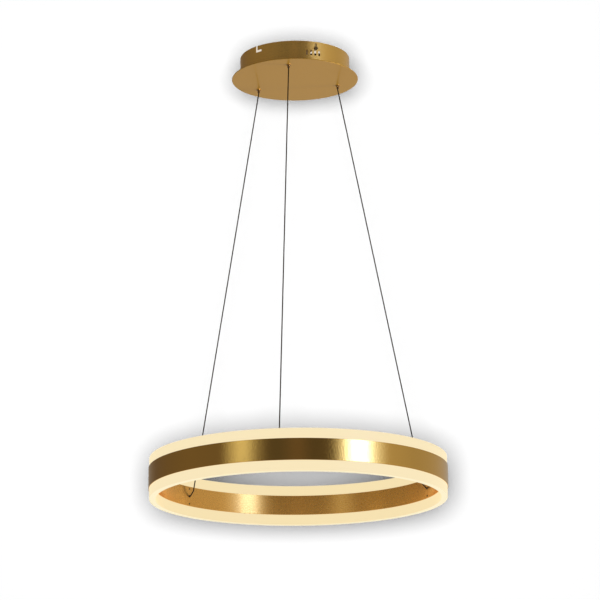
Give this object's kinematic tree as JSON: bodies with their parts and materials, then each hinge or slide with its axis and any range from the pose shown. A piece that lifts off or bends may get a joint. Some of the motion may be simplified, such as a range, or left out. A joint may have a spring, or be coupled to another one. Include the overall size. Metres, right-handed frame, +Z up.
{
  "type": "ring ceiling light",
  "caption": "Gold ring pendant light with opal light bands above and below its rim, hung on thin wires from a round slotted ceiling canopy with adjustable wire grippers.",
  "frame": {"origin": "middle of the bracket's top face, on the ceiling", "axes": "+Z up, out of the lamp into the ceiling; +Y along the bracket's strap"},
  "size_m": [0.5999, 0.6, 0.9323],
  "materials": {
    "outer_gold": "brushed gold",
    "inner_gold": "polished gold",
    "carrier_metal": "mill finish",
    "light_board": "white solder mask",
    "opal_acrylic": "satin opal, lit from inside",
    "coated_wire": "clear-coated bronze wire",
    "crimp_metal": "pressed",
    "canopy_gold": "brushed gold",
    "plate_gold": "satin gold",
    "gripper_brass": "turned",
    "spring_steel": "bright",
    "zinc_steel": "yellow zinc",
    "lock_screw": "gold plated",
    "driver_plastic": "white",
    "circuit_board": "green",
    "block_plastic": "natural",
    "pad_foam": "foam tape"
  },
  "bodies": {
    "bracket": {"ceiling_bracket": "zinc_steel", "lock_screws": "lock_screw"},
    "canopy": {"canopy_drum": "canopy_gold", "canopy_plate": "plate_gold", "gripper_barrels": "gripper_brass", "gripper_spring_1": "spring_steel", "gripper_spring_2": "spring_steel", "gripper_spring_3": "spring_steel", "driver_base": "driver_plastic", "driver_circuit": "circuit_board", "driver_cover": "driver_plastic", "terminal_block": "block_plastic", "adhesive_pads": "pad_foam", "wire_1": "coated_wire", "wire_2": "coated_wire", "wire_3": "coated_wire", "wire_tails": "coated_wire", "tail_crimps": "crimp_metal"},
    "plunger_1": {"gripper_nozzle_1": "gripper_brass"},
    "plunger_2": {"gripper_nozzle_2": "gripper_brass"},
    "plunger_3": {"gripper_nozzle_3": "gripper_brass"},
    "ring": {"outer_band": "outer_gold", "inner_band": "inner_gold", "carrier_ring": "carrier_metal", "light_boards_upper": "light_board", "light_boards_lower": "light_board", "upper_diffuser": "opal_acrylic", "lower_diffuser": "opal_acrylic", "wire_ends": "coated_wire", "end_crimps": "crimp_metal"}
  },
  "joints": [
    {"name": "canopy_drop", "type": "slide", "parent": "bracket", "child": "canopy", "axis": [0, 0, 1], "range_m": [-0.01, 0]},
    {"name": "ring_height", "type": "slide", "parent": "canopy", "child": "ring", "axis": [0, 0, 1], "range_m": [0, 0.5], "deforming": ["wire_1", "wire_2", "wire_3"]},
    {"name": "nozzle_press_1", "type": "slide", "parent": "canopy", "child": "plunger_1", "axis": [0, 0, 1], "range_m": [0, 0.0025], "stiffness_N_per_m": 400, "springref_m": -0.004, "deforming": ["gripper_spring_1"]},
    {"name": "nozzle_press_2", "type": "slide", "parent": "canopy", "child": "plunger_2", "axis": [0, 0, 1], "range_m": [0, 0.0025], "stiffness_N_per_m": 400, "springref_m": -0.004, "deforming": ["gripper_spring_2"]},
    {"name": "nozzle_press_3", "type": "slide", "parent": "canopy", "child": "plunger_3", "axis": [0, 0, 1], "range_m": [0, 0.0025], "stiffness_N_per_m": 400, "springref_m": -0.004, "deforming": ["gripper_spring_3"]}
  ]
}
